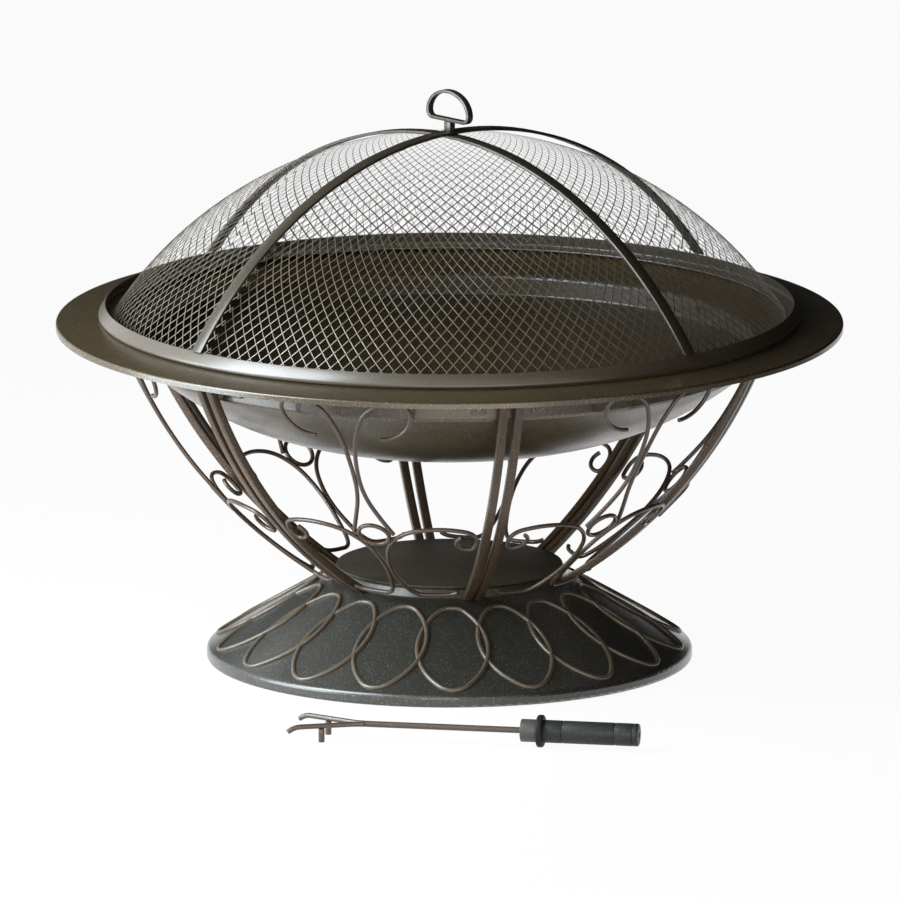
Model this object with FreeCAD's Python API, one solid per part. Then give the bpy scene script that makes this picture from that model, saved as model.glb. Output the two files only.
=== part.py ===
import FreeCAD, Part
import math
import os

from FreeCAD import Vector

# Fire pit: a spun bowl on a stand of curved legs and wire scrolls, a domed spark screen, and a poker.
# Millimetres, +Z up, origin on the floor at the middle of the pedestal, the front faces -Y.
# Angles round the stand are counted from the front, and grow towards +X.

# Clearances between pieces
weld_gap = 0.2
seat_gap = 0.3
rivet_clearance = 0.2

# Pedestal, spun from sheet
foot_radius = 235.0
foot_edge_height = 11.0
foot_turn_in = 14.0
foot_edge_rounding = 5.0
cone_top_radius = 115.0
cone_slope = 30.5
neck_taper = 5.0
neck_height = 9.0
neck_ledge = 12.0
pedestal_sheet = 1.5
sheet_bend = 3.0
plate_thickness = 2.0
plate_overhang = 0.5

# Low raised ovals round the cone, each with its right side across the next one's left side
oval_count = 18
oval_first_angle = 1.0
oval_bead = 4.6
oval_relief = 2.2
oval_width = 73.0
oval_top_margin = 9.5
oval_foot_margin = 6.0
oval_tip_share = 0.52

# Legs, each a pair of bars bent to one arc from the cone's shoulder to the hoop, which spread towards
# the top; their spacing is that at the stand's axis
leg_count = 6
leg_first_angle = 11.0
leg_arc_radius = 484.5
leg_bar_width = 8.0
leg_bar_depth = 7.5
leg_bar_spacing = 8.2
leg_bar_toe = 0.6

# Bowl, spun from sheet; heights and radii are those of its outer face
bowl_sheet = 1.5
bowl_floor_height = 217.0
dish_slope = 40.0
dish_curve_share = 0.99
band_radius = 297.0
band_bottom_height = 296.0
band_height = 18.5
shoulder_width = 39.0
shoulder_rise = 19.5
flange_width = 45.0
flange_fall = 4.0
lip_height = 4.5
crease_bend = 4.0
band_bend = 2.5
flange_bend = 6.0
lip_bend = 2.2

# Hoop on the leg tops, and the brackets that hold the bowl to it
hoop_standoff = 17.5
hoop_bar = 6.0
bracket_sheet = 2.5
bracket_width = 14.0
bracket_height = 14.5
bracket_bend = 6.0
bracket_offset = 29.0
rivet_diameter = 3.5
rivet_drop = 9.0
rivet_head_width = 7.0
rivet_head_height = 2.0
rivet_head_rounding = 1.4
rivet_foot_width = 6.0
rivet_foot_height = 0.8

# Scroll panels between the legs, bent from wire on the surface that the legs' arc sweeps, a little outside
scroll_wire = 4.2
scroll_foot_drop = 1.8
scroll_ring_radius = 15.1
scroll_ring_level = 140.0
scroll_offset = 3.2
hook_end_drop = 42.0
hook_side_drop = 13.0
hook_root_drop = 21.0

# Spark screen
ring_standoff = 6.0
ring_taper = 8.5
ring_height = 14.0
ring_ledge = 20.0
ring_sheet = 1.5
ring_bend = 3.0
mesh_rise = 175.5
mesh_edge_lap = 3.5
mesh_thickness = 1.0
mesh_openings = 12
mesh_bar = 4.2
mesh_border = 7.0
strap_width = 13.0
strap_thickness = 3.0
strap_first_angle = 43.5

# D handle on the strap crossing
handle_bar = 3.2
handle_depth = 7.0
handle_width = 59.0
handle_height = 31.0
handle_corner = 8.0
stem_width = 8.5
stem_height = 9.0

# Poker on the floor in front
poker_front_gap = 10.0
poker_turn = -10.8
poker_axis_height = 16.0
ferrule_start = 70.0
shaft_diameter = 6.0
shaft_length = 164.7
grip_diameter = 22.0
grip_length = 87.0
grip_groove = 1.2
grip_groove_inset = 18.0
guard_diameter = 31.4
guard_thickness = 6.5
ferrule_length = 15.7
ferrule_socket = 12.0
cap_length = 5.6
cap_hole = 4.0
cap_hole_depth = 3.0
prong_diameter = 5.0
prong_length = 69.5
prong_spread = 31.0
prong_bend = 14.0
prong_tip_bend = 13.0
prong_tip_drop = 4.5
peg_diameter = 6.0
peg_setback = 30.5
poker_floor_gap = 0.2

up = Vector(0, 0, 1)
middle = Vector(0, 0, 0)


def tan(degrees):
    return math.tan(math.radians(degrees))


def sin(degrees):
    return math.sin(math.radians(degrees))


def cos(degrees):
    return math.cos(math.radians(degrees))


def save(name, *solids):
    shape = solids[0] if len(solids) == 1 else Part.makeCompound(list(solids))
    shape.exportStep(f"parts/{name}.step")


def section_point(radius, height):
    return Vector(radius, 0, height)


def turned(shape, angle):
    """The shape, drawn in the half plane of +X, moved to an angle counted from the front."""
    copy = shape.copy()
    copy.rotate(middle, up, angle - 90)
    return copy


def leg_angles():
    return [leg_first_angle + 360 / leg_count * i for i in range(leg_count)]


def rounded_line(points, radii):
    """Edges along a line through points, with an arc of the given radius at each corner on the way."""
    edges = []
    cursor = points[0]
    for before, corner, after, radius in zip(points, points[1:], points[2:], radii):
        back = (before - corner).normalize()
        ahead = (after - corner).normalize()
        half = back.getAngle(ahead) / 2
        start = corner + back * (radius / math.tan(half))
        end = corner + ahead * (radius / math.tan(half))
        top = corner + (back + ahead).normalize() * (radius / math.sin(half) - radius)
        edges.append(Part.LineSegment(cursor, start).toShape())
        edges.append(Part.Arc(start, top, end).toShape())
        cursor = end
    edges.append(Part.LineSegment(cursor, points[-1]).toShape())
    return edges


def left_of(direction):
    return Vector(-direction.z, 0, direction.x)


def beside(points, radii, distance):
    """The line moved to its left by a distance, with the radii that keep the gap even round each corner."""
    runs = [(b - a).normalize() for a, b in zip(points, points[1:])]
    moved = [points[0] + left_of(runs[0]) * distance]
    moved_radii = []
    for corner, before, after, radius in zip(points[1:], runs, runs[1:], radii):
        turn = before.x * after.z - before.z * after.x
        stretch = distance / (1 + before.dot(after))
        moved.append(corner + (left_of(before) + left_of(after)) * stretch)
        moved_radii.append(radius - distance * math.copysign(1, turn))
    moved.append(points[-1] + left_of(runs[-1]) * distance)
    return moved, moved_radii


def sheet_section(points, radii, thickness):
    """Section of a bent sheet whose right-hand face follows the points."""
    far, far_radii = beside(points, radii, thickness)
    near_edges = rounded_line(points, radii)
    far_edges = rounded_line(far, far_radii)
    caps = [Part.LineSegment(points[0], far[0]).toShape(), Part.LineSegment(points[-1], far[-1]).toShape()]
    return Part.Face(Part.Wire(Part.__sortEdges__(near_edges + far_edges + caps)))


def spun(face, angle=360):
    return face.revolve(middle, up, angle)


def biarc(start, start_way, end, end_way):
    """Two arcs in space that join two places and follow the way given at each."""
    gap = end - start
    slow = 2 * (1 - start_way.dot(end_way))
    along = gap.dot(start_way + end_way)
    if slow < 1e-9:
        reach = gap.dot(gap) / (2 * along)
    else:
        reach = (-along + math.sqrt(along * along + slow * gap.dot(gap))) / slow
    first = start + start_way * reach
    second = end - end_way * reach
    joint = (first + second) * 0.5
    return [bent(start, first, joint), bent(joint, second, end)]


def bent(start, corner, end):
    """The arc from start to end that is tangent to both sides of the corner."""
    weight = math.cos((corner - start).getAngle(end - corner) / 2)
    top = (start + corner * (2 * weight) + end) * (1 / (2 + 2 * weight))
    return Part.Arc(start, top, end).toShape()


def bent_bar(edges, diameter):
    """A round bar along edges that follow on from each other."""
    begin = edges[0].FirstParameter
    circle = Part.makeCircle(diameter / 2, edges[0].valueAt(begin), edges[0].tangentAt(begin))
    return Part.Wire(edges).makePipeShell([Part.Wire(circle)], True, False)


# Pedestal

def cone_height(radius):
    return foot_edge_height + (foot_radius - radius) * tan(cone_slope)


shoulder_height = cone_height(cone_top_radius)
pedestal_height = shoulder_height + neck_height
neck_radius = cone_top_radius - neck_taper
oval_top_radius = cone_top_radius + oval_top_margin
oval_bottom_radius = foot_radius - oval_foot_margin


def pedestal_line(gap=0.0):
    points = [
        section_point(foot_radius - foot_turn_in, 0),
        section_point(foot_radius, 0),
        section_point(foot_radius, foot_edge_height),
        section_point(cone_top_radius, shoulder_height),
        section_point(neck_radius, pedestal_height),
        section_point(neck_radius - neck_ledge, pedestal_height),
    ]
    radii = [sheet_bend, foot_edge_rounding, sheet_bend, sheet_bend]
    return beside(points, radii, -gap) if gap else (points, radii)


def make_pedestal():
    points, radii = pedestal_line()
    save("pedestal", spun(sheet_section(points, radii, pedestal_sheet)))
    plate = Part.makeCylinder(neck_radius - plate_overhang, plate_thickness, Vector(0, 0, pedestal_height))
    save("waist_plate", plate)


def pedestal_space():
    """The solid that the pedestal fills, a weld gap larger all round, which the legs are cut back from."""
    points, radii = pedestal_line(weld_gap)
    edges = rounded_line(points, radii)
    top = section_point(0, points[-1].z)
    bottom = section_point(0, points[0].z)
    closing = Part.makePolygon([points[-1], top, bottom, points[0]]).Edges
    return spun(Part.Face(Part.Wire(Part.__sortEdges__(edges + closing))))


# Raised ovals on the cone

def oval_face(grow):
    """A flat oval of four arcs round the origin, long along X, grown from the middle of the bead."""
    half_long = ((oval_bottom_radius - oval_top_radius) / cos(cone_slope) - oval_bead) / 2
    half_wide = (oval_width - oval_bead) / 2
    tip = half_wide * oval_tip_share
    shift = half_long - tip
    side = (shift * shift + half_wide * half_wide - tip * tip) / (2 * (half_wide - tip))
    lean = math.atan2(shift, side - half_wide)
    corner = Vector(shift + (tip + grow) * math.sin(lean), (tip + grow) * math.cos(lean), 0)
    edges = []
    for flip in (1, -1):
        near = Vector(corner.x * flip, corner.y, 0)
        far = Vector(corner.x * flip, -corner.y, 0)
        edges.append(Part.Arc(near, Vector((half_long + grow) * flip, 0, 0), far).toShape())
        left = Vector(-corner.x, corner.y * flip, 0)
        right = Vector(corner.x, corner.y * flip, 0)
        edges.append(Part.Arc(left, Vector(0, (half_wide + grow) * flip, 0), right).toShape())
    return Part.Face(Part.Wire(Part.__sortEdges__(edges)))


def oval_wall(grow):
    """An oval wall that stands across the cone's skin, as thick as the bead and a growth on each side."""
    ring = oval_face(oval_bead / 2 + grow).cut(oval_face(-oval_bead / 2 - grow))
    wall = ring.extrude(Vector(0, 0, 2 * oval_bead))
    wall.translate(Vector(0, 0, -oval_bead))
    wall.rotate(middle, Vector(0, 1, 0), cone_slope)
    mid_radius = (oval_top_radius + oval_bottom_radius) / 2
    wall.translate(section_point(mid_radius, cone_height(mid_radius)))
    return wall


def make_pedestal_loops():
    corners = []
    for radius, lift in (
        (cone_top_radius, weld_gap), (cone_top_radius, oval_relief),
        (foot_radius, oval_relief), (foot_radius, weld_gap),
    ):
        corners.append(section_point(radius, cone_height(radius) + lift / cos(cone_slope)))
    skin = spun(Part.Face(Part.makePolygon(corners + corners[:1])))
    spacing = 360 / oval_count
    across = oval_wall(weld_gap)
    across.rotate(middle, up, -spacing)
    bead = skin.common(oval_wall(0)).cut(across)
    beads = [turned(bead, oval_first_angle + spacing * i).Solids for i in range(oval_count)]
    save("pedestal_loops", *[solid for solids in beads for solid in solids])


# Bowl

shoulder_bottom_height = band_bottom_height + band_height
rim_radius = band_radius + shoulder_width
rim_height = shoulder_bottom_height + shoulder_rise
flange_radius = rim_radius + flange_width
flange_height = rim_height - flange_fall
shoulder_way = Vector(shoulder_width, 0, shoulder_rise).normalize()
hoop_radius = band_radius + hoop_standoff
hoop_reach = hoop_bar / 2 + seat_gap
hoop_run = (hoop_radius - band_radius - hoop_reach * shoulder_way.z) / shoulder_way.x
hoop_height = shoulder_bottom_height + hoop_run * shoulder_way.z - hoop_reach * shoulder_way.x
leg_top_height = hoop_height - hoop_bar / 2 - weld_gap
rivet_height = leg_top_height - rivet_drop
bracket_radius = band_radius + weld_gap
bracket_angle = math.degrees(bracket_offset / band_radius)


def bracket_angles():
    return [leg + side for leg in leg_angles() for side in (-bracket_angle, bracket_angle)]


def radial_bar(diameter, inner, outer):
    """A round bar at the rivets' height, from one radius to another."""
    start = section_point(inner, rivet_height)
    return Part.makeCylinder(diameter / 2, outer - inner, start, Vector(1, 0, 0))


def rivet_bore(inner, outer):
    return radial_bar(rivet_diameter + 2 * rivet_clearance, inner, outer)


def make_bowl():
    dish_run = (band_bottom_height - bowl_floor_height) / sin(dish_slope)
    dish_corner = band_radius - dish_run * cos(dish_slope)
    crease_run = (crease_bend + bowl_sheet) * tan((90 - dish_slope) / 2)
    dish_bend = min(dish_run - crease_run, dish_corner) / tan(dish_slope / 2) * dish_curve_share
    points = [
        section_point(0, bowl_floor_height),
        section_point(dish_corner, bowl_floor_height),
        section_point(band_radius, band_bottom_height),
        section_point(band_radius, shoulder_bottom_height),
        section_point(rim_radius, rim_height),
        section_point(flange_radius - bowl_sheet, flange_height),
        section_point(flange_radius - bowl_sheet, flange_height - lip_height),
    ]
    radii = [dish_bend, crease_bend, band_bend, flange_bend, lip_bend - bowl_sheet]
    bowl = spun(sheet_section(points, radii, bowl_sheet))
    bore = rivet_bore(band_radius - 2 * bowl_sheet, band_radius + bowl_sheet)
    save("bowl", bowl.cut([turned(bore, angle) for angle in bracket_angles()]))


def make_bowl_fixings():
    points = [
        section_point(bracket_radius, leg_top_height - bracket_height),
        section_point(bracket_radius, leg_top_height),
        section_point(hoop_radius, leg_top_height),
    ]
    bracket_sweep = math.degrees(bracket_width / bracket_radius)
    bracket = spun(sheet_section(points, [bracket_bend], -bracket_sheet), bracket_sweep)
    bracket.rotate(middle, up, -bracket_sweep / 2)
    bracket = bracket.cut(rivet_bore(band_radius, hoop_radius))
    save("bowl_brackets", *[turned(bracket, angle) for angle in bracket_angles()])

    head_seat = bracket_radius + bracket_sheet + weld_gap
    foot_seat = band_radius - bowl_sheet - weld_gap
    head = radial_bar(rivet_head_width, head_seat, head_seat + rivet_head_height)
    outer_rim = max(head.Edges, key=lambda edge: edge.CenterOfMass.x)
    head = head.makeFillet(rivet_head_rounding, [outer_rim])
    shank = radial_bar(rivet_diameter, foot_seat, head_seat)
    foot = radial_bar(rivet_foot_width, foot_seat - rivet_foot_height, foot_seat)
    rivet = head.fuse([shank, foot]).removeSplitter()
    save("bowl_rivets", *[turned(rivet, angle) for angle in bracket_angles()])


def make_hoop():
    save("top_hoop", Part.makeTorus(hoop_radius, hoop_bar / 2, Vector(0, 0, hoop_height)))


# Legs

leg_foot = section_point(cone_top_radius, shoulder_height)
leg_top = section_point(hoop_radius, leg_top_height)
leg_chord = leg_top - leg_foot
leg_arc_depth = math.sqrt(leg_arc_radius ** 2 - (leg_chord.Length / 2) ** 2)
leg_arc_centre = (leg_foot + leg_top) * 0.5 + left_of(leg_chord).normalize() * leg_arc_depth


def arc_point(radius, angle):
    """A place on a circle round the centre of the legs' arc."""
    return leg_arc_centre + section_point(radius * math.cos(angle), radius * math.sin(angle))


def arc_angle(height, radius):
    """The angle at which such a circle passes a height, below its centre."""
    return math.asin((height - leg_arc_centre.z) / radius)


def leg_edge(radius, low, top):
    ends = [arc_point(radius, angle) for angle in (low, (low + top) / 2, top)]
    return Part.Arc(*ends).toShape()


def make_legs():
    outer = leg_arc_radius + leg_bar_depth / 2
    inner = leg_arc_radius - leg_bar_depth / 2
    low = -math.acos((neck_radius - neck_ledge - leg_arc_centre.x) / leg_arc_radius)
    tops = [arc_angle(leg_top_height, radius) for radius in (outer, inner)]
    edges = [
        leg_edge(outer, low, tops[0]),
        leg_edge(inner, low, tops[1]),
        Part.LineSegment(arc_point(outer, low), arc_point(inner, low)).toShape(),
        Part.LineSegment(arc_point(outer, tops[0]), arc_point(inner, tops[1])).toShape(),
    ]
    side = Part.Face(Part.Wire(Part.__sortEdges__(edges)))
    space = pedestal_space()
    bars = []
    for hand in (-1, 1):
        bar = side.extrude(Vector(0, leg_bar_width, 0))
        bar.translate(Vector(0, (hand * leg_bar_spacing - leg_bar_width) / 2, 0))
        bar.rotate(middle, up, hand * leg_bar_toe)
        bars.append(max(bar.cut(space).Solids, key=lambda solid: solid.Volume))
    for number, angle in enumerate(leg_angles(), 1):
        save(f"leg_{number}", *[turned(bar, angle) for bar in bars])


# Scroll panels

scroll_arc_radius = leg_arc_radius + scroll_offset
scroll_foot_lean = arc_angle(shoulder_height, leg_arc_radius) - scroll_foot_drop / scroll_arc_radius


def panel_frame(across, along):
    """A place on the scroll surface, and the two ways along it, from flat sizes on the panel."""
    lean = scroll_foot_lean + along / scroll_arc_radius
    spot = arc_point(scroll_arc_radius, lean)
    round_angle = across / spot.x
    outward = Vector(math.cos(round_angle), math.sin(round_angle), 0)
    sideways = Vector(-math.sin(round_angle), math.cos(round_angle), 0)
    climb = up * math.cos(lean) - outward * math.sin(lean)
    return outward * spot.x + up * spot.z, sideways, climb


def panel_wire(nodes, side):
    """Arcs through nodes of a panel, each with its place across and along the panel and its heading."""
    places = []
    for across, along, heading in nodes:
        spot, sideways, climb = panel_frame(across * side, along)
        places.append((spot, sideways * (side * cos(heading)) + climb * sin(heading)))
    edges = []
    for (start, start_way), (end, end_way) in zip(places, places[1:]):
        edges += biarc(start, start_way, end, end_way)
    return bent_bar(edges, scroll_wire)


touch = (scroll_wire + seat_gap) / 2
hoop_way = section_point(hoop_radius, hoop_height) - leg_arc_centre
hoop_touch = (hoop_bar + scroll_wire) / 2 + weld_gap
hoop_sides = scroll_arc_radius ** 2 + hoop_way.Length ** 2 - hoop_touch ** 2
hoop_turn = math.acos(hoop_sides / (2 * scroll_arc_radius * hoop_way.Length))
scroll_top_lean = math.atan2(hoop_way.z, hoop_way.x) - hoop_turn
scroll_top = (scroll_top_lean - scroll_foot_lean) * scroll_arc_radius

# Each node of a scroll: across the panel from its middle, along it from its foot, heading from across.
upper_scroll = [
    (33.0, scroll_top - hook_end_drop, 0),
    (66.0, scroll_top - hook_side_drop, 90),
    (48.0, scroll_top, 180),
    (15.5, scroll_top - hook_root_drop, 245),
    (touch, 222.0, 270),
    (20.0, 142.5, 291),
]
lower_scroll = [
    (85.5, 139.0, 222),
    (78.5, 130.0, 270),
    (88.5, 118.5, 0),
    (98.5, 131.0, 90),
    (67.0, 151.8, 180),
    (22.5, 136.5, 226),
    (touch, 80.0, 270),
    (6.7, 40.0, 283),
    (22.0, 20.5, 0),
    (44.0, 22.5, 12),
    (54.0, 27.5, 50),
]


def make_scrolls():
    uppers = [panel_wire(upper_scroll, side) for side in (-1, 1)]
    lowers = [panel_wire(lower_scroll, side) for side in (-1, 1)]
    spot, sideways, climb = panel_frame(0, scroll_ring_level)
    circle = Part.Circle(spot, sideways.cross(climb), scroll_ring_radius)
    half = math.pi
    edges = [Part.Arc(circle, 0, half).toShape(), Part.Arc(circle, half, 2 * half).toShape()]
    ring = bent_bar(edges, scroll_wire)
    half_panel = 180 / leg_count
    angles = [angle - half_panel for angle in leg_angles()]
    for number, angle in enumerate(angles, 1):
        save(f"scroll_upper_{number}", *[turned(wire, angle) for wire in uppers])
        save(f"scroll_lower_{number}", *[turned(wire, angle) for wire in lowers])
    save("scroll_rings", *[turned(ring, angle) for angle in angles])


# Spark screen

ring_bottom_radius = rim_radius + ring_standoff
ring_top_radius = ring_bottom_radius - ring_taper
mesh_edge_radius = ring_bottom_radius - ring_ledge + mesh_edge_lap
ring_bottom = rim_height + bowl_sheet + seat_gap
ring_top = ring_bottom + ring_height
mesh_foot = ring_bottom + ring_sheet + weld_gap
mesh_top = mesh_foot + mesh_rise


def cap_radius(foot, rise):
    """Radius of the arc that rises from a foot to its crown on the axis."""
    return (foot * foot + rise * rise) / (2 * rise)


def make_screen_ring():
    points = [
        section_point(ring_bottom_radius - ring_ledge, ring_bottom),
        section_point(ring_bottom_radius, ring_bottom),
        section_point(ring_top_radius, ring_top),
    ]
    save("screen_ring", spun(sheet_section(points, [ring_bend], ring_sheet)))


def crown_arc(foot, rise, base):
    radius = cap_radius(foot, rise)
    centre = base + rise - radius
    lean = math.asin(foot / radius)
    mid = section_point(radius * math.sin(lean / 2), centre + radius * math.cos(lean / 2))
    return Part.Arc(section_point(foot, base), mid, section_point(0, base + rise)).toShape()


def mesh_openings_cut():
    """Upright square cores in rows along a panel's two straight edges, a coarse stand-in for the weave."""
    reach = mesh_edge_radius - mesh_border
    pitch = (reach - mesh_border + mesh_bar) / mesh_openings
    opening = pitch - mesh_bar
    limit = Part.makeCylinder(reach, mesh_rise, Vector(0, 0, mesh_foot))
    starts = [mesh_border + pitch * i for i in range(mesh_openings)]
    cores = []
    for across in starts:
        for along in starts:
            if math.hypot(across + opening / 2, along + opening / 2) < reach:
                core = Part.makeBox(opening, opening, mesh_rise, Vector(across, along, mesh_foot))
                cores.append(core.common(limit))
    return Part.makeCompound(cores)


def make_mesh():
    outer = crown_arc(mesh_edge_radius, mesh_rise, mesh_foot)
    inner = crown_arc(mesh_edge_radius - mesh_thickness, mesh_rise - mesh_thickness, mesh_foot)
    ends = (section_point(mesh_edge_radius, mesh_foot), section_point(0, mesh_top))
    inward = (Vector(-mesh_thickness, 0, 0), Vector(0, 0, -mesh_thickness))
    caps = [Part.LineSegment(end, end + step).toShape() for end, step in zip(ends, inward)]
    section = Part.Face(Part.Wire(Part.__sortEdges__([outer, inner] + caps)))
    panel = spun(section, 90).cut(mesh_openings_cut())
    for number in range(4):
        save(f"mesh_panel_{number + 1}", turned(panel, strap_first_angle + 90 * number))


def make_straps():
    foot = ring_top_radius - ring_sheet / 2
    base = ring_top + weld_gap
    for name, level, turn in (("strap_lower", 0, 0), ("strap_upper", 1, 90)):
        rise = mesh_top + weld_gap - base + level * (strap_thickness + weld_gap)
        under = cap_radius(foot, rise)
        hub = Vector(0, 0, base + rise - under)
        sideways = Vector(0, 1, 0)
        band = Part.makeCylinder(under + strap_thickness, strap_width, hub, sideways)
        band = band.cut(Part.makeCylinder(under, strap_width, hub, sideways))
        reach = 2 * (foot + 2 * strap_thickness)
        kept = Part.makeBox(reach, strap_width, rise + 2 * strap_thickness, Vector(-reach / 2, 0, base))
        strap = band.common(kept)
        strap.translate(Vector(0, -strap_width / 2, 0))
        save(name, turned(strap, strap_first_angle + turn))


def d_face(width, height, corner):
    """A D standing on its straight side: half an ellipse above two rounded corners."""
    half = width / 2
    crown = height - corner
    arch = Part.Arc(Part.Ellipse(Vector(0, 0, corner), half, crown), 0, math.pi).toShape()
    arch.rotate(Vector(0, 0, corner), Vector(1, 0, 0), 90)
    right = Part.Arc(
        Vector(half, 0, corner),
        Vector(half - corner + corner * cos(45), 0, corner - corner * sin(45)),
        Vector(half - corner, 0, 0),
    ).toShape()
    base = Part.LineSegment(Vector(half - corner, 0, 0), Vector(corner - half, 0, 0)).toShape()
    left = right.mirror(middle, Vector(1, 0, 0))
    return Part.Face(Part.Wire(Part.__sortEdges__([arch, right, base, left])))


def make_handle():
    stem_base = mesh_top + 2 * strap_thickness + 3 * weld_gap
    loop_base = stem_base + stem_height + weld_gap
    outer = d_face(handle_width, handle_height, handle_corner)
    both = 2 * handle_bar
    inner = d_face(handle_width - both, handle_height - both, handle_corner - handle_bar)
    inner.translate(Vector(0, 0, handle_bar))
    loop = outer.cut(inner).extrude(Vector(0, handle_depth, 0))
    loop.translate(Vector(0, -handle_depth / 2, loop_base))
    stem = Part.makeBox(
        stem_width, handle_depth, stem_height, Vector(-stem_width / 2, -handle_depth / 2, stem_base)
    )
    save("handle_loop", turned(loop, strap_first_angle))
    save("handle_stem", turned(stem, strap_first_angle))


# Poker, drawn along X with its handle towards +X, then laid in front of the pedestal

def lay_poker(shape):
    copy = shape.copy()
    copy.translate(Vector(0, 0, poker_axis_height))
    copy.rotate(middle, up, poker_turn)
    copy.translate(Vector(0, -poker_front, 0))
    return copy


def rod(diameter, start, end):
    return Part.makeCylinder(diameter / 2, end - start, Vector(start, 0, 0), Vector(1, 0, 0))


poker_front = flange_radius + poker_front_gap
fork = ferrule_start + ferrule_socket - shaft_length
guard_start = ferrule_start + ferrule_length
grip_start = guard_start + guard_thickness
cap_start = grip_start + grip_length


def make_poker_handle():
    socket = rod(shaft_diameter + 2 * weld_gap, ferrule_start, ferrule_start + ferrule_socket + weld_gap)
    save("poker_ferrule", lay_poker(rod(grip_diameter, ferrule_start, guard_start).cut(socket)))
    guard = rod(guard_diameter, guard_start, grip_start)
    rims = [edge for edge in guard.Edges if edge.Curve.TypeId.endswith("Circle")]
    save("poker_guard", lay_poker(guard.makeFillet(guard_thickness / 3, rims)))
    grip = rod(grip_diameter, grip_start, cap_start)
    for groove in (grip_start + grip_groove_inset, cap_start - grip_groove_inset):
        band = rod(grip_diameter + grip_groove, groove, groove + grip_groove)
        grip = grip.cut(band.cut(rod(grip_diameter - grip_groove, groove, groove + grip_groove)))
    save("poker_grip", lay_poker(grip))
    cap = rod(grip_diameter, cap_start, cap_start + cap_length)
    cap = cap.cut(rod(cap_hole, cap_start + cap_length - cap_hole_depth, cap_start + cap_length))
    save("poker_end_cap", lay_poker(cap))


def make_poker_fork():
    save("poker_shaft", lay_poker(rod(shaft_diameter, fork, ferrule_start + ferrule_socket)))
    root = (prong_diameter + seat_gap) / 2
    start = Vector(fork - weld_gap, root, 0)
    run = Vector(prong_bend / 2 - prong_length, prong_spread - root, 0).normalize()
    elbow = start + Vector(-prong_bend / 2, 0, 0) + run * (prong_bend / 2)
    tip = Vector(fork - prong_length, prong_spread, -prong_tip_drop)
    knee = elbow + run * ((tip - elbow).dot(run) - prong_tip_bend)
    tip_lean = 2 * math.degrees(math.atan2(prong_tip_drop, prong_tip_bend))
    edges = biarc(start, Vector(-1, 0, 0), elbow, run)
    edges.append(Part.LineSegment(elbow, knee).toShape())
    edges += biarc(knee, run, tip, run * cos(tip_lean) - up * sin(tip_lean))
    prong = bent_bar(edges, prong_diameter)
    peg_share = (elbow.x - fork + prong_length - peg_setback) / -run.x
    peg_top = elbow + run * peg_share - up * (prong_diameter / 2 + weld_gap)
    peg_length = poker_axis_height - poker_floor_gap + peg_top.z
    peg = Part.makeCylinder(peg_diameter / 2, peg_length, peg_top, Vector(0, 0, -1))
    sideways = Vector(0, 1, 0)
    save("poker_prongs", *[lay_poker(shape) for shape in (prong, prong.mirror(middle, sideways))])
    save("poker_pegs", *[lay_poker(shape) for shape in (peg, peg.mirror(middle, sideways))])


def main():
    os.makedirs("parts", exist_ok=True)
    make_pedestal()
    make_pedestal_loops()
    make_bowl()
    make_hoop()
    make_bowl_fixings()
    make_legs()
    make_scrolls()
    make_screen_ring()
    make_mesh()
    make_straps()
    make_handle()
    make_poker_handle()
    make_poker_fork()


main()
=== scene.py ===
import math

import bpy
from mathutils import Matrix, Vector


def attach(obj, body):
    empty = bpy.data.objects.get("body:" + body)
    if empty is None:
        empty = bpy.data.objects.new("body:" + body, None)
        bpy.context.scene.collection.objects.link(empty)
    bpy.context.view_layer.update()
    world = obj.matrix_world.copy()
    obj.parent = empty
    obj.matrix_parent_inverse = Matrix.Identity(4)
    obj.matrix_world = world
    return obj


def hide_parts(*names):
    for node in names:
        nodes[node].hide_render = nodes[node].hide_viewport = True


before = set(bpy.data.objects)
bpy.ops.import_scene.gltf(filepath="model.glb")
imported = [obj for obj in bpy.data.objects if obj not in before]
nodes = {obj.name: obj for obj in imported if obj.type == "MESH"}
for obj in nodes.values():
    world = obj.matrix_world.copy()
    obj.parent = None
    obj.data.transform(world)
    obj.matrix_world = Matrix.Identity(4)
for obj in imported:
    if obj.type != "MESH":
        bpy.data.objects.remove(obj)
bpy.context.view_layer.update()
print("frame loaded:", len(nodes), "nodes")


def clearSelection():
    if bpy.context.object and bpy.context.object.mode != "OBJECT":
        bpy.ops.object.mode_set(mode="OBJECT")
    bpy.ops.object.select_all(action="DESELECT")


def makeActive(piece):
    clearSelection()
    piece.select_set(True)
    bpy.context.view_layer.objects.active = piece


def twin(source, name):
    piece = bpy.data.objects.new(name, source.data.copy())  # own mesh, none of the source's marks
    bpy.context.scene.collection.objects.link(piece)
    makeActive(piece)
    return piece


def applyModifier(piece, kind, **settings):
    modifier = piece.modifiers.new(kind.lower(), kind)
    for key, value in settings.items():
        setattr(modifier, key, value)
    makeActive(piece)
    bpy.ops.object.modifier_apply(modifier=modifier.name)


def joinInto(first, others):
    makeActive(first)
    for piece in others:
        piece.select_set(True)
    bpy.ops.object.join()
    return first


def turnCopies(first, names, count, startAngle=0.0):
    copies = []
    for i, name in enumerate(names):
        piece = twin(first, name)
        piece.rotation_euler.z = startAngle + 2 * math.pi * i / count
        bpy.ops.object.transform_apply(location=True, rotation=True, scale=True)
        copies.append(piece)
    return copies


def dropPiece(piece):
    makeActive(piece)
    bpy.ops.object.delete()


def finishPiece(piece, body, slotName, material, *replaced):
    piece.data.materials.clear()
    piece.data.materials.append(material)
    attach(piece, body)
    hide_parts(*replaced)


# Node helpers for the finishes; the x and y that they take only lay the nodes out in the editor
def addNode(tree, kind, x, y, **settings):
    node = tree.nodes.new(kind)
    node.location = (x, y)
    for key, value in settings.items():
        setattr(node, key, value)
    return node


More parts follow.
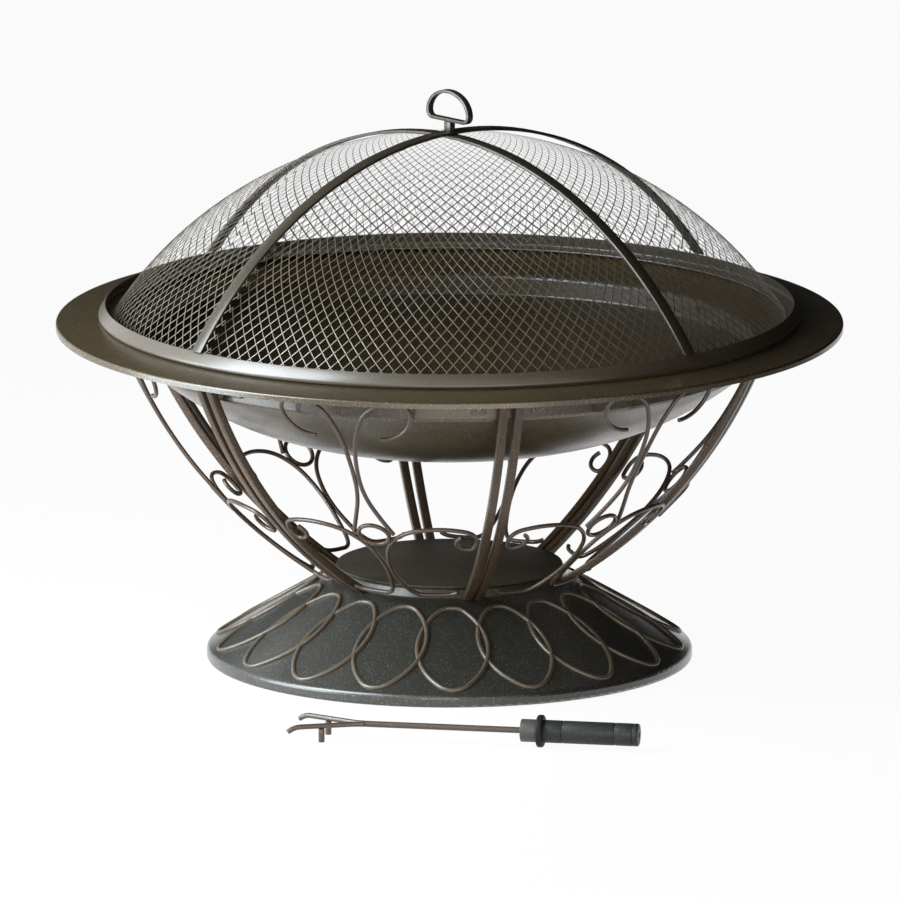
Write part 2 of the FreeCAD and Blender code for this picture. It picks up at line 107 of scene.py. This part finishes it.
def setInput(tree, socket, value):
    if hasattr(value, "is_output"):  # another node's output is linked, a plain value is set
        tree.links.new(value, socket)
    else:
        socket.default_value = value


def mixColours(tree, x, y, factor, first, second, blend="MIX"):
    node = addNode(tree, "ShaderNodeMix", x, y, data_type="RGBA", blend_type=blend)
    for index, value in ((0, factor), (6, first), (7, second)):  # where a colour mix has these inputs
        setInput(tree, node.inputs[index], value)
    return node.outputs[2]


def mathNode(tree, x, y, operation, first, second=0.0):
    node = addNode(tree, "ShaderNodeMath", x, y, operation=operation)
    setInput(tree, node.inputs[0], first)
    setInput(tree, node.inputs[1], second)
    return node.outputs[0]


def remap(tree, x, y, value, fromLow, fromHigh, toLow=0.0, toHigh=1.0):
    node = addNode(tree, "ShaderNodeMapRange", x, y, interpolation_type="SMOOTHSTEP")
    tree.links.new(value, node.inputs["Value"])
    node.inputs["From Min"].default_value = fromLow
    node.inputs["From Max"].default_value = fromHigh
    node.inputs["To Min"].default_value = toLow
    node.inputs["To Max"].default_value = toHigh
    return node.outputs["Result"]


# Powder coat with metal flecks: a cloudy ground, flecks of two sizes and a fine orange peel
coatPattern = {
    "cloudScale": 11.0, "cloudDetail": 5.0, "cloudRoughness": 0.6, "cloudRange": (0.32, 0.7),
    "fleckSizes": ((1.0, 0.42), (0.6, 0.30)),  # share of the fleck density, and a fleck's reach in its cell
    "fleckCore": 0.45, "faintestFleck": 0.25, "fleckGloss": 0.12, "fleckHeight": 0.5,
    "peelScale": 520.0, "peelDetail": 2.0,
    "unevenRange": (0.3, 0.7), "unevenRoughness": (-0.05, 0.06),
}


def buildFleckedCoat():
    tree = bpy.data.node_groups.new("fleckedCoat", "ShaderNodeTree")
    sockets = tree.interface
    for name in ("Coat", "Cloud", "Fleck"):
        sockets.new_socket(name=name, in_out="INPUT", socket_type="NodeSocketColor")
    for name in ("Fleck Density", "Fleck Amount", "Roughness"):
        sockets.new_socket(name=name, in_out="INPUT", socket_type="NodeSocketFloat")
    sockets.new_socket(name="Color", in_out="OUTPUT", socket_type="NodeSocketColor")
    for name in ("Roughness", "Height"):
        sockets.new_socket(name=name, in_out="OUTPUT", socket_type="NodeSocketFloat")
    given = addNode(tree, "NodeGroupInput", -1200, 0).outputs
    result = addNode(tree, "NodeGroupOutput", 900, 0).inputs
    place = addNode(tree, "ShaderNodeTexCoord", -1200, -300).outputs["Object"]

    cloud = addNode(tree, "ShaderNodeTexNoise", -900, 300)
    cloud.inputs["Scale"].default_value = coatPattern["cloudScale"]
    cloud.inputs["Detail"].default_value = coatPattern["cloudDetail"]
    cloud.inputs["Roughness"].default_value = coatPattern["cloudRoughness"]
    tree.links.new(place, cloud.inputs["Vector"])
    clouded = remap(tree, -650, 300, cloud.outputs[0], *coatPattern["cloudRange"])
    ground = mixColours(tree, -400, 300, clouded, given["Coat"], given["Cloud"])

    masks = []
    for step, (share, reach) in enumerate(coatPattern["fleckSizes"]):
        row = -step * 300
        cells = addNode(tree, "ShaderNodeTexVoronoi", -900, row)
        tree.links.new(place, cells.inputs["Vector"])
        density = mathNode(tree, -1050, row, "MULTIPLY", given["Fleck Density"], share)
        tree.links.new(density, cells.inputs["Scale"])
        chance = addNode(tree, "ShaderNodeSeparateColor", -700, row)
        tree.links.new(cells.outputs["Color"], chance.inputs[0])
        threshold = mathNode(tree, -700, row - 150, "SUBTRACT", 1.0, given["Fleck Amount"])
        chosen = mathNode(tree, -500, row, "GREATER_THAN", chance.outputs[0], threshold)
        core = reach * coatPattern["fleckCore"]
        spot = remap(tree, -500, row - 150, cells.outputs["Distance"], reach, core)
        shine = mathNode(tree, -300, row, "MULTIPLY", chosen, spot)
        faintest = coatPattern["faintestFleck"]
        strength = remap(tree, -500, row + 150, chance.outputs[1], 0.0, 1.0, faintest, 1.0)
        masks.append(mathNode(tree, -150, row, "MULTIPLY", shine, strength))
    flecks = mathNode(tree, 50, -100, "MAXIMUM", *masks)
    tree.links.new(mixColours(tree, 300, 200, flecks, ground, given["Fleck"]), result["Color"])

    peel = addNode(tree, "ShaderNodeTexNoise", -900, -700)
    peel.inputs["Scale"].default_value = coatPattern["peelScale"]
    peel.inputs["Detail"].default_value = coatPattern["peelDetail"]
    tree.links.new(place, peel.inputs["Vector"])
    uneven = remap(
        tree, -400, 500, cloud.outputs[0], *coatPattern["unevenRange"], *coatPattern["unevenRoughness"],
    )
    rough = mathNode(tree, 100, 500, "ADD", given["Roughness"], uneven)
    gloss = mathNode(tree, 300, 450, "MULTIPLY", flecks, coatPattern["fleckGloss"])
    tree.links.new(mathNode(tree, 500, 400, "SUBTRACT", rough, gloss), result["Roughness"])
    bulge = mathNode(tree, 300, -300, "MULTIPLY", flecks, coatPattern["fleckHeight"])
    tree.links.new(mathNode(tree, 500, -300, "ADD", peel.outputs[0], bulge), result["Height"])
    return tree


fleckedCoat = buildFleckedCoat()
coatFilm = {"peelDepth": 0.0004, "lacquerRoughness": 0.24}  # the same on every coated piece


def makeCoat(name, look):
    material = bpy.data.materials.new(name)
    material.use_nodes = True
    tree = material.node_tree
    shader = tree.nodes["Principled BSDF"]
    coat = addNode(tree, "ShaderNodeGroup", -500, 200, node_tree=fleckedCoat)
    coat.inputs["Coat"].default_value = (*look["coat"], 1)
    coat.inputs["Cloud"].default_value = (*look["cloud"], 1)
    coat.inputs["Fleck"].default_value = (*look["fleck"], 1)
    coat.inputs["Fleck Density"].default_value = look["density"]
    coat.inputs["Fleck Amount"].default_value = look["amount"]
    coat.inputs["Roughness"].default_value = look["roughness"]
    bump = addNode(tree, "ShaderNodeBump", -250, -200)
    bump.inputs["Strength"].default_value = look["bump"]
    bump.inputs["Distance"].default_value = coatFilm["peelDepth"]
    tree.links.new(coat.outputs["Height"], bump.inputs["Height"])
    tree.links.new(coat.outputs["Color"], shader.inputs["Base Color"])
    tree.links.new(coat.outputs["Roughness"], shader.inputs["Roughness"])
    tree.links.new(bump.outputs["Normal"], shader.inputs["Normal"])
    shader.inputs["Metallic"].default_value = look["metallic"]
    shader.inputs["Specular IOR Level"].default_value = look["specular"]
    shader.inputs["Coat Weight"].default_value = look["lacquer"]
    shader.inputs["Coat Roughness"].default_value = coatFilm["lacquerRoughness"]
    return material


bowlCoat = makeCoat("bowlCoat", {
    "coat": (0.046, 0.032, 0.014), "cloud": (0.037, 0.026, 0.011), "fleck": (0.33, 0.25, 0.12),
    "density": 780.0, "amount": 0.30, "roughness": 0.4, "bump": 0.2,
    "metallic": 0.0, "specular": 0.5, "lacquer": 0.8,
})
standCoat = makeCoat("standCoat", {
    "coat": (0.026, 0.026, 0.021), "cloud": (0.021, 0.021, 0.017), "fleck": (0.20, 0.22, 0.22),
    "density": 780.0, "amount": 0.26, "roughness": 0.42, "bump": 0.2,
    "metallic": 0.0, "specular": 0.5, "lacquer": 0.95,
})
legCoat = makeCoat("legCoat", {
    "coat": (0.062, 0.037, 0.019), "cloud": (0.047, 0.028, 0.015), "fleck": (0.28, 0.22, 0.15),
    "density": 800.0, "amount": 0.14, "roughness": 0.36, "bump": 0.15,
    "metallic": 0.0, "specular": 0.4, "lacquer": 0.25,
})
scrollCoat = makeCoat("scrollCoat", {
    "coat": (0.068, 0.042, 0.026), "cloud": (0.051, 0.032, 0.020), "fleck": (0.36, 0.30, 0.24),
    "density": 1000.0, "amount": 0.07, "roughness": 0.32, "bump": 0.12,
    "metallic": 0.0, "specular": 0.5, "lacquer": 0.3,
})
plateCoat = makeCoat("plateCoat", {
    "coat": (0.058, 0.050, 0.032), "cloud": (0.048, 0.041, 0.027), "fleck": (0.24, 0.23, 0.18),
    "density": 760.0, "amount": 0.12, "roughness": 0.6, "bump": 0.2,
    "metallic": 0.0, "specular": 0.3, "lacquer": 0.0,
})
strapCoat = makeCoat("strapCoat", {
    "coat": (0.040, 0.031, 0.021), "cloud": (0.031, 0.024, 0.016), "fleck": (0.24, 0.20, 0.14),
    "density": 800.0, "amount": 0.10, "roughness": 0.38, "bump": 0.15,
    "metallic": 0.0, "specular": 0.5, "lacquer": 0.3,
})
ovalCoat = makeCoat("ovalCoat", {
    "coat": (0.105, 0.082, 0.058), "cloud": (0.080, 0.062, 0.044), "fleck": (0.34, 0.28, 0.20),
    "density": 800.0, "amount": 0.10, "roughness": 0.36, "bump": 0.15,
    "metallic": 0.0, "specular": 0.5, "lacquer": 0.4,
})
screenCoat = makeCoat("screenCoat", {
    "coat": (0.084, 0.070, 0.052), "cloud": (0.068, 0.057, 0.042), "fleck": (0.30, 0.27, 0.21),
    "density": 1000.0, "amount": 0.05, "roughness": 0.38, "bump": 0.15,
    "metallic": 0.0, "specular": 0.5, "lacquer": 0.6,
})
meshWire = makeCoat("meshWire", {
    "coat": (0.105, 0.085, 0.058), "cloud": (0.080, 0.065, 0.045), "fleck": (0.30, 0.26, 0.20),
    "density": 1300.0, "amount": 0.08, "roughness": 0.34, "bump": 0.08,
    "metallic": 0.0, "specular": 0.5, "lacquer": 0.9,
})
pokerCoat = makeCoat("pokerCoat", {
    "coat": (0.075, 0.053, 0.038), "cloud": (0.056, 0.040, 0.029), "fleck": (0.36, 0.29, 0.22),
    "density": 1000.0, "amount": 0.08, "roughness": 0.40, "bump": 0.15,
    "metallic": 0.0, "specular": 0.5, "lacquer": 0.3,
})
ferruleSteel = makeCoat("ferruleSteel", {
    "coat": (0.090, 0.088, 0.084), "cloud": (0.070, 0.068, 0.066), "fleck": (0.25, 0.25, 0.24),
    "density": 1200.0, "amount": 0.08, "roughness": 0.45, "bump": 0.12,
    "metallic": 0.2, "specular": 0.3, "lacquer": 0.2,
})
guardRubber = makeCoat("guardRubber", {
    "coat": (0.014, 0.014, 0.015), "cloud": (0.010, 0.010, 0.011), "fleck": (0.04, 0.04, 0.04),
    "density": 1400.0, "amount": 0.08, "roughness": 0.55, "bump": 0.2,
    "metallic": 0.0, "specular": 0.2, "lacquer": 0.0,
})
gripCoat = makeCoat("gripCoat", {
    "coat": (0.026, 0.031, 0.029), "cloud": (0.020, 0.024, 0.022), "fleck": (0.17, 0.19, 0.18),
    "density": 1000.0, "amount": 0.14, "roughness": 0.50, "bump": 0.25,
    "metallic": 0.0, "specular": 0.2, "lacquer": 0.1,
})


# Painted shade inside the bowl: faces that look up, within the screen's ring, get a darker and duller coat,
# the walls darker than the floor, as painted shade for how the light falls there
paintedBowlShade = {
    "wallShade": (0.34, 0.32, 0.29), "floorShade": (0.80, 0.77, 0.74), "lacquer": 0.25,
    "reach": 0.319, "reachBlur": 0.003, "upBlur": 0.03,
    "floorFacing": (0.75, 0.98),  # how far up a face looks, from wall to floor
}


# Paints shade into a coat: darker colour and less lacquer on up-facing faces inside the bowl
def addPaintedBowlShade(material):
    tree = material.node_tree
    shader = tree.nodes["Principled BSDF"]
    place = addNode(tree, "ShaderNodeTexCoord", -1300, -400).outputs
    facing = addNode(tree, "ShaderNodeSeparateXYZ", -1100, -300)
    tree.links.new(place["Normal"], facing.inputs[0])
    up = facing.outputs[2]
    spot = addNode(tree, "ShaderNodeSeparateXYZ", -1100, -500)
    tree.links.new(place["Object"], spot.inputs[0])
    squares = [mathNode(tree, -900, -500 - 150 * i, "POWER", spot.outputs[i], 2.0) for i in range(2)]
    radius = mathNode(tree, -700, -500, "SQRT", mathNode(tree, -800, -500, "ADD", *squares))
    blur = paintedBowlShade["reachBlur"]
    within = remap(tree, -500, -500, radius, paintedBowlShade["reach"] + blur, paintedBowlShade["reach"] - blur)
    looksUp = remap(tree, -900, -300, up, -paintedBowlShade["upBlur"], paintedBowlShade["upBlur"])
    mask = mathNode(tree, -300, -400, "MULTIPLY", within, looksUp)
    colour = shader.inputs["Base Color"].links[0].from_socket
    level = remap(tree, -700, -100, up, *paintedBowlShade["floorFacing"])
    shade = mixColours(tree, -400, 0, level, (*paintedBowlShade["wallShade"], 1), (*paintedBowlShade["floorShade"], 1))
    # painted shade: the coat colour is multiplied darker inside the bowl, most on the walls
    shadePainted = mixColours(tree, -150, 300, mask, colour, shade, "MULTIPLY")
    tree.links.new(shadePainted, shader.inputs["Base Color"])
    lacquer = shader.inputs["Coat Weight"].default_value
    dulled = remap(tree, -150, -500, mask, 0.0, 1.0, lacquer, paintedBowlShade["lacquer"])
    tree.links.new(dulled, shader.inputs["Coat Weight"])


# painted shade inside the bowl
addPaintedBowlShade(bowlCoat)
print("finishes made")


# CAD nodes that keep their shape and get a finish only
keptNodes = {
    "pedestal": standCoat, "top_hoop": standCoat, "bowl": bowlCoat, "bowl_rivets": bowlCoat,
    "scroll_rings": scrollCoat,
    "poker_shaft": pokerCoat, "poker_prongs": pokerCoat, "poker_guard": guardRubber,
}
for number in range(1, 7):
    keptNodes[f"scroll_upper_{number}"] = scrollCoat
    keptNodes[f"scroll_lower_{number}"] = scrollCoat
for nodeName, material in keptNodes.items():
    nodes[nodeName].data.materials.clear()
    nodes[nodeName].data.materials.append(material)
print("kept nodes coated:", len(keptNodes))


# Pieces whose cut edges are broken, as on the real sheet and bar
edgePieces = {
    "leg": {
        "width": 0.0009, "segments": 2, "body": "stand", "slot": "stand_coat", "material": legCoat,
        "nodes": [f"leg_{number}" for number in range(1, 7)],
    },
    "plate": {
        "width": 0.0006, "segments": 2, "body": "stand", "slot": "stand_coat", "material": plateCoat,
        "nodes": ["waist_plate"],
    },
    "bracket": {
        "width": 0.0005, "segments": 2, "body": "stand", "slot": "stand_coat", "material": bowlCoat,
        "nodes": ["bowl_brackets"],
    },
    "screen": {
        "width": 0.0005, "segments": 2, "body": "screen", "slot": "screen_coat", "material": screenCoat,
        "nodes": ["screen_ring"],
    },
    "strap": {
        "width": 0.0005, "segments": 2, "body": "screen", "slot": "screen_coat", "material": strapCoat,
        "nodes": ["strap_lower", "strap_upper", "handle_loop", "handle_stem"],
    },
    "pokerPeg": {
        "width": 0.0006, "segments": 2, "body": "poker", "slot": "poker_coat", "material": pokerCoat,
        "nodes": ["poker_pegs"],
    },
    "pokerFerrule": {
        "width": 0.0008, "segments": 3, "body": "poker", "slot": "poker_ferrule", "material": ferruleSteel,
        "nodes": ["poker_ferrule"],
    },
    "pokerGrip": {
        "width": 0.0005, "segments": 2, "body": "poker", "slot": "poker_grip", "material": gripCoat,
        "nodes": ["poker_grip"],
    },
    "pokerCap": {
        "width": 0.0022, "segments": 4, "body": "poker", "slot": "poker_grip", "material": gripCoat,
        "nodes": ["poker_end_cap"],
    },
}
edgeAngles = {"flat": math.radians(0.6), "broken": math.radians(35), "sharp": math.radians(40)}
mergeReach = 0.00001


def pieceName(nodeName):
    first, *rest = nodeName.split("_")
    return first + "".join(word.capitalize() for word in rest)


def breakEdges(nodeName, look):
    piece = twin(nodes[nodeName], pieceName(nodeName))
    bpy.ops.mesh.customdata_custom_splitnormals_clear()
    bpy.ops.object.mode_set(mode="EDIT")
    bpy.ops.mesh.select_all(action="SELECT")
    bpy.ops.mesh.remove_doubles(threshold=mergeReach)
    bpy.ops.mesh.dissolve_limited(angle_limit=edgeAngles["flat"])
    bpy.ops.object.mode_set(mode="OBJECT")
    applyModifier(
        piece, "BEVEL", width=look["width"], segments=look["segments"], limit_method="ANGLE",
        angle_limit=edgeAngles["broken"], use_clamp_overlap=True,
    )
    makeActive(piece)
    bpy.ops.object.shade_smooth_by_angle(angle=edgeAngles["sharp"])
    finishPiece(piece, look["body"], look["slot"], look["material"], nodeName)


for look in edgePieces.values():
    for nodeName in look["nodes"]:
        breakEdges(nodeName, look)
print("edges broken")


# Mesh of the spark screen: strands aslant both ways, at even steps round the dome and down it, so that
# they close up towards the crown; one quarter is modelled and turned
weave = {
    "around": 25.05, "down": 25.0,  # strands in a radian round the dome, and in a radian down from the crown
    "starts": {1: 0.305, -1: 0.085},  # where the strands of each hand begin, in steps
    "firstAngle": math.radians(-46.5), "crownAngle": math.radians(2.0), "quarters": 4,
    "strand": 0.0015, "crimpShare": 0.8, "steps": 3, "flatness": 0.22, "sides": 1,
}


def strandTaper(fall, dome):
    edgePitch, pitch = [
        math.hypot(weave["around"] / math.sin(place), weave["down"]) for place in (dome["edgeAngle"], fall)
    ]
    return (edgePitch / pitch) ** 2


def makeStrands(dome, hand):
    firstAngle = weave["firstAngle"]
    lastAngle = firstAngle + math.pi / 2
    start = weave["starts"][hand]
    ends = [
        weave["around"] * angle + hand * weave["down"] * fall + start
        for angle in (firstAngle, lastAngle) for fall in (weave["crownAngle"], dome["edgeAngle"])
    ]
    firstStrand = math.ceil(min(ends))
    strands = math.floor(max(ends)) - firstStrand
    rows = round((dome["edgeAngle"] - weave["crownAngle"]) * 2 * weave["down"] * weave["steps"])
    clearSelection()
    bpy.ops.mesh.primitive_grid_add(x_subdivisions=strands, y_subdivisions=rows, size=1)
    piece = bpy.context.object
    bpy.ops.object.mode_set(mode="EDIT")
    bpy.ops.mesh.select_all(action="SELECT")
    bpy.ops.mesh.delete(type="ONLY_FACE")
    bpy.ops.mesh.select_mode(type="EDGE")
    bpy.ops.mesh.select_all(action="DESELECT")
    bpy.ops.object.mode_set(mode="OBJECT")
    vertices = piece.data.vertices
    halfStep = 0.5 / strands
    for edge in piece.data.edges:  # the rungs across go, the strands stay
        first, second = [vertices[index].co.x for index in edge.vertices]
        edge.select = abs(first - second) > halfStep
    bpy.ops.object.mode_set(mode="EDIT")
    bpy.ops.mesh.delete(type="EDGE_FACE")
    bpy.ops.object.mode_set(mode="OBJECT")

    shift = weave["starts"][1] - weave["starts"][-1]
    for vertex in piece.data.vertices:  # the flat grid is laid over the dome, over and under at each crossing
        strand = firstStrand + round((vertex.co.x + 0.5) * strands)
        fall = weave["crownAngle"] + (vertex.co.y + 0.5) * (dome["edgeAngle"] - weave["crownAngle"])
        angle = (strand - start - hand * weave["down"] * fall) / weave["around"]
        half = weave["strand"] / 2 * strandTaper(fall, dome)
        crossing = math.pi * (2 * weave["down"] * fall + shift)
        reach = dome["radius"] - half + half * weave["crimpShare"] * (hand * math.cos(crossing) - 1)
        level = reach * math.sin(fall)
        height = dome["centre"] + reach * math.cos(fall)
        vertex.co = (level * math.cos(angle), level * math.sin(angle), height)

    bpy.ops.object.mode_set(mode="EDIT")
    for angle, side in ((firstAngle, 1), (lastAngle, -1)):
        bpy.ops.mesh.select_all(action="SELECT")
        across = (-side * math.sin(angle), side * math.cos(angle), 0)
        bpy.ops.mesh.bisect(plane_co=(0, 0, 0), plane_no=across, clear_inner=True)
    bpy.ops.object.mode_set(mode="OBJECT")
    return piece


def makeWeave():
    panel = nodes["mesh_panel_1"].data.vertices
    edge = max(math.hypot(v.co.x, v.co.y) for v in panel)
    foot = min(v.co.z for v in panel)
    crown = max(v.co.z for v in panel)
    radius = (edge ** 2 + (crown - foot) ** 2) / (2 * (crown - foot))
    dome = {"radius": radius, "centre": crown - radius, "edgeAngle": math.asin(edge / radius)}
    quarter = joinInto(makeStrands(dome, 1), [makeStrands(dome, -1)])
    bpy.ops.object.convert(target="CURVE")
    quarter = bpy.context.object
    for strand in quarter.data.splines:
        for point in strand.points:
            fall = math.atan2(math.hypot(point.co.x, point.co.y), point.co.z - dome["centre"])
            point.radius = strandTaper(fall, dome)
    quarter.data.bevel_depth = weave["strand"] / 2
    quarter.data.bevel_resolution = weave["sides"]
    quarter.data.use_fill_caps = True
    bpy.ops.object.convert(target="MESH")
    quarter = bpy.context.object
    for vertex in quarter.data.vertices:  # the strands are rolled flat along the dome
        spoke = vertex.co - Vector((0, 0, dome["centre"]))
        depth = dome["radius"] - spoke.length
        vertex.co += spoke.normalized() * depth * (1 - weave["flatness"])
    bpy.ops.object.shade_smooth()
    names = [f"screenWeave{number}" for number in range(1, weave["quarters"] + 1)]
    for number, piece in enumerate(turnCopies(quarter, names, weave["quarters"]), 1):
        finishPiece(piece, "screen", "mesh_wire", meshWire, f"mesh_panel_{number}")
    dropPiece(quarter)


makeWeave()
print("weave made")


# Raised ovals on the pedestal's cone: one bead is bent, and turned round the cone
oval = {
    "count": 18, "firstAngle": math.radians(-89.0), "points": 72, "sides": 2,
    "bead": 0.0046, "width": 0.073, "tipShare": 0.52, "topRadius": 0.1245, "footRadius": 0.229,
    "overlap": 0.0006, "rise": 0.0002,
    "slope": math.radians(30.5), "coneFoot": (0.235, 0.011),  # the cone under them
}


def coneHeight(radius):
    footRadius, footHeight = oval["coneFoot"]
    return footHeight + (footRadius - radius) * math.tan(oval["slope"])


def makeOvals():
    halfLong = ((oval["footRadius"] - oval["topRadius"]) / math.cos(oval["slope"]) - oval["bead"]) / 2
    halfWide = (oval["width"] - oval["bead"]) / 2
    tip = halfWide * oval["tipShare"]
    shift = halfLong - tip
    side = (shift ** 2 + halfWide ** 2 - tip ** 2) / (2 * (halfWide - tip))
    lean = math.atan2(shift, side - halfWide)
    tipTurn = math.pi / 2 - lean
    tipShare = tip * tipTurn / (tip * tipTurn + side * lean)
    clearSelection()
    bpy.ops.mesh.primitive_circle_add(vertices=oval["points"], radius=halfWide)
    bead = bpy.context.object
    for vertex in bead.data.vertices:  # the circle is drawn out to four arcs
        turn = math.atan2(vertex.co.y, vertex.co.x)
        signX = math.copysign(1, math.cos(turn))
        signY = math.copysign(1, math.sin(turn))
        quarter = math.acos(min(1, abs(math.cos(turn))))
        share = quarter / (math.pi / 2)
        if share < tipShare:
            angle = tipTurn * share / tipShare
            x = shift + tip * math.cos(angle)
            y = tip * math.sin(angle)
        else:
            angle = tipTurn + lean * (share - tipShare) / (1 - tipShare)
            x = side * math.cos(angle)
            y = side * math.sin(angle) - (side - halfWide)
        vertex.co.x = signX * x
        vertex.co.y = signY * y
    middle = (oval["topRadius"] + oval["footRadius"]) / 2
    bead.rotation_euler.y = oval["slope"]
    bead.location = (middle, 0, coneHeight(middle))
    applyModifier(
        bead, "SHRINKWRAP", target=nodes["pedestal"], wrap_method="PROJECT", use_project_z=True,
        use_negative_direction=True, use_positive_direction=True, offset=oval["rise"],
    )
    for vertex in bead.data.vertices:  # the right side lies over the next oval's left side
        vertex.co.z += oval["overlap"] * max(0, vertex.co.y / halfWide)
    makeActive(bead)
    bpy.ops.object.transform_apply(location=True, rotation=True, scale=True)
    bpy.ops.object.convert(target="CURVE")
    bead = bpy.context.object
    bead.data.bevel_depth = oval["bead"] / 2
    bead.data.bevel_resolution = oval["sides"]
    bpy.ops.object.convert(target="MESH")
    bead = bpy.context.object
    bpy.ops.object.shade_smooth()
    names = [f"pedestalOval{number}" for number in range(1, oval["count"] + 1)]
    ring = turnCopies(bead, names, oval["count"], oval["firstAngle"])
    dropPiece(bead)
    ovals = joinInto(ring[0], ring[1:])
    ovals.name = "pedestalOvals"
    finishPiece(ovals, "stand", "stand_coat", ovalCoat, "pedestal_loops")


makeOvals()
print("ovals made")


# Floor and room: white to the camera and in reflections, dim as a light
stageLook = {
    "floorSize": 24.0, "floorDrop": 0.0002, "floor": (0.86, 0.86, 0.86), "floorRoughness": 0.9,
    "floorSpecular": 0.1, "floorGlow": 0.95, "roomLight": 0.06, "roomSeen": 1.0,
}


def isSeenDirectly(tree):
    path = addNode(tree, "ShaderNodeLightPath", -900, 300).outputs
    either = mathNode(tree, -700, 300, "MAXIMUM", path["Is Camera Ray"], path["Is Glossy Ray"])
    return mathNode(tree, -500, 300, "MAXIMUM", either, path["Is Transmission Ray"])


def makeStage():
    clearSelection()
    bpy.ops.mesh.primitive_plane_add(size=stageLook["floorSize"], location=(0, 0, -stageLook["floorDrop"]))
    floor = bpy.context.object
    floor.name = "floor"
    material = bpy.data.materials.new("paleFloor")
    material.use_nodes = True
    tree = material.node_tree
    shader = tree.nodes["Principled BSDF"]
    shader.inputs["Base Color"].default_value = (*stageLook["floor"], 1)
    shader.inputs["Roughness"].default_value = stageLook["floorRoughness"]
    shader.inputs["Specular IOR Level"].default_value = stageLook["floorSpecular"]
    glow = addNode(tree, "ShaderNodeEmission", 0, -300)
    blend = addNode(tree, "ShaderNodeMixShader", 300, 0)
    seen = mathNode(tree, -300, 300, "MULTIPLY", isSeenDirectly(tree), stageLook["floorGlow"])
    tree.links.new(seen, blend.inputs[0])
    tree.links.new(shader.outputs[0], blend.inputs[1])
    tree.links.new(glow.outputs[0], blend.inputs[2])
    tree.links.new(blend.outputs[0], tree.nodes["Material Output"].inputs["Surface"])
    floor.data.materials.append(material)

    world = bpy.data.worlds.new("studio")
    world.use_nodes = True
    bpy.context.scene.world = world
    tree = world.node_tree
    background = tree.nodes["Background"]
    background.inputs["Color"].default_value = (1, 1, 1, 1)
    strength = addNode(tree, "ShaderNodeMapRange", -250, 0)
    tree.links.new(isSeenDirectly(tree), strength.inputs["Value"])
    strength.inputs["To Min"].default_value = stageLook["roomLight"]
    strength.inputs["To Max"].default_value = stageLook["roomSeen"]
    tree.links.new(strength.outputs["Result"], background.inputs["Strength"])


# Cool soft lamps from the upper left and the left, and a weak warm one in front
lamps = {
    "keyLamp": {
        "place": (-1.0, -0.55, 1.05), "aim": (0, 0, 0.26), "size": (0.8, 0.8), "power": 30.0,
        "tint": (0.86, 0.94, 1.0),
    },
    "sideLamp": {
        "place": (-1.30, -0.42, 0.36), "aim": (0, 0, 0.22), "size": (0.9, 0.9), "power": 24.0,
        "tint": (0.86, 0.94, 1.0),
    },
    "frontLamp": {
        "place": (0.1, -1.5, 0.25), "aim": (0, 0, 0.26), "size": (1.0, 0.7), "power": 6.5,
        "tint": (1.0, 0.87, 0.70),
    },
}


def aimAt(thing, place, target):
    thing.location = place
    thing.rotation_mode = "QUATERNION"
    thing.rotation_quaternion = (Vector(target) - Vector(place)).to_track_quat("-Z", "Y")


def makeLamps():
    for name, look in lamps.items():
        light = bpy.data.lights.new(name, "AREA")
        light.shape = "RECTANGLE"
        light.size, light.size_y = look["size"]
        light.energy = look["power"]
        light.color = look["tint"]
        lamp = bpy.data.objects.new(name, light)
        bpy.context.scene.collection.objects.link(lamp)
        aimAt(lamp, look["place"], look["aim"])
        lamp.visible_camera = False


# Dark cards behind, beside and above the object keep the white room out of its upper faces
cards = {
    "backCard": {"place": (0.54, 1.15, 1.05), "turn": (math.pi / 2, 0, 0), "size": (2.72, 1.7)},
    "sideCard": {"place": (1.35, -0.1, 0.95), "turn": (math.pi / 2, 0, math.pi / 2), "size": (2.5, 1.9)},
    "topCard": {"place": (0.0, 0.0, 2.2), "turn": (0, 0, 0), "size": (3.4, 3.0)},
}
cardShade = (0.015, 0.015, 0.015)


def makeCards():
    material = bpy.data.materials.new("darkCloth")
    material.use_nodes = True
    shader = material.node_tree.nodes["Principled BSDF"]
    shader.inputs["Base Color"].default_value = (*cardShade, 1)
    shader.inputs["Specular IOR Level"].default_value = 0.0
    for name, look in cards.items():
        clearSelection()
        bpy.ops.mesh.primitive_plane_add(size=1, location=look["place"], rotation=look["turn"])
        card = bpy.context.object
        card.name = name
        card.scale = (*look["size"], 1)
        bpy.ops.object.transform_apply(location=True, rotation=True, scale=True)
        card.visible_camera = False
        card.data.materials.append(material)


view = {
    "aim": (0.0004, 0.0, 0.204), "elevation": math.radians(12.1), "width": 0.871,
    "lens": 1500.0, "sensor": 36.0, "clip": (1.0, 100.0),
}


def makeCamera():
    camera = bpy.data.cameras.new("camera")
    camera.lens = view["lens"]
    camera.sensor_width = view["sensor"]
    camera.clip_start, camera.clip_end = view["clip"]
    holder = bpy.data.objects.new("camera", camera)
    bpy.context.scene.collection.objects.link(holder)
    distance = view["width"] * view["lens"] / view["sensor"]
    back = Vector((0, -math.cos(view["elevation"]), math.sin(view["elevation"])))
    aimAt(holder, Vector(view["aim"]) + back * distance, view["aim"])
    bpy.context.scene.camera = holder


makeStage()
makeCards()
makeLamps()
makeCamera()
bpy.context.scene.view_settings.view_transform = "Standard"
print("stage set")
